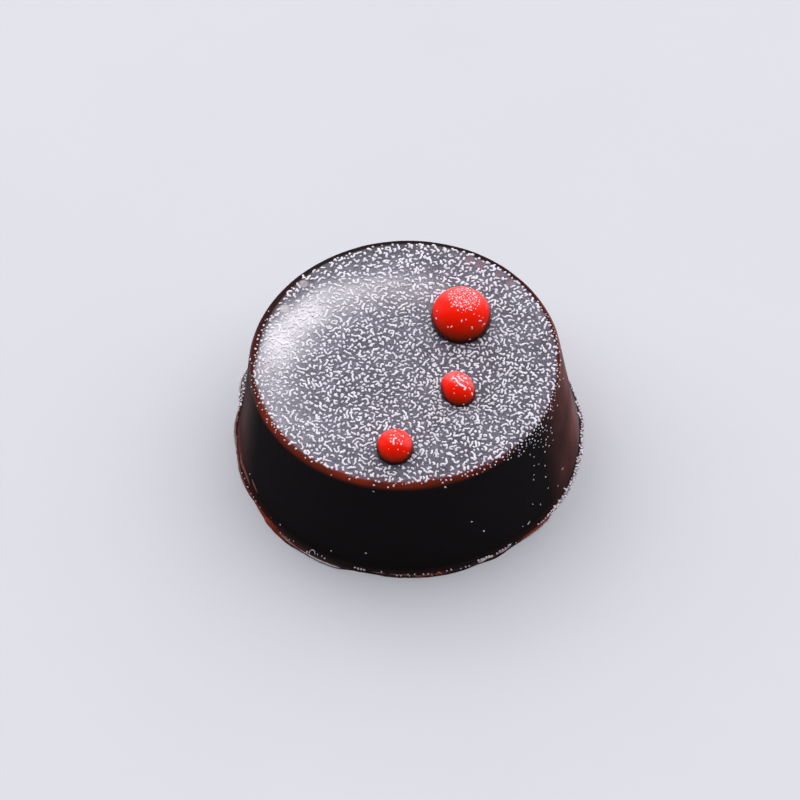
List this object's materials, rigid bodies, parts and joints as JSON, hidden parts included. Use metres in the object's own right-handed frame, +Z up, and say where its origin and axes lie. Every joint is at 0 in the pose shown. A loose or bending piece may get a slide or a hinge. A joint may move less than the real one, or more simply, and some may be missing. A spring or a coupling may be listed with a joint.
{
  "type": "chocolate praline",
  "caption": "Round moulded dark chocolate praline with sloping sides, a thin lip round its foot and glossy red drops on its flat top.",
  "frame": {"origin": "middle of the flat underside, on the surface that the praline rests on", "axes": "+Z up through the flat top; -Y towards the side that carries the small front drop"},
  "size_m": [0.031, 0.031, 0.0142],
  "materials": {
    "dark_chocolate": "glossy tempered dark chocolate",
    "red_glaze": "glossy translucent red glaze",
    "white_powder": "dull white powder grains"
  },
  "bodies": {
    "root": {"praline_body": "dark_chocolate", "drop_large": "red_glaze", "drop_middle": "red_glaze", "drop_front": "red_glaze"}
  },
  "joints": []
}
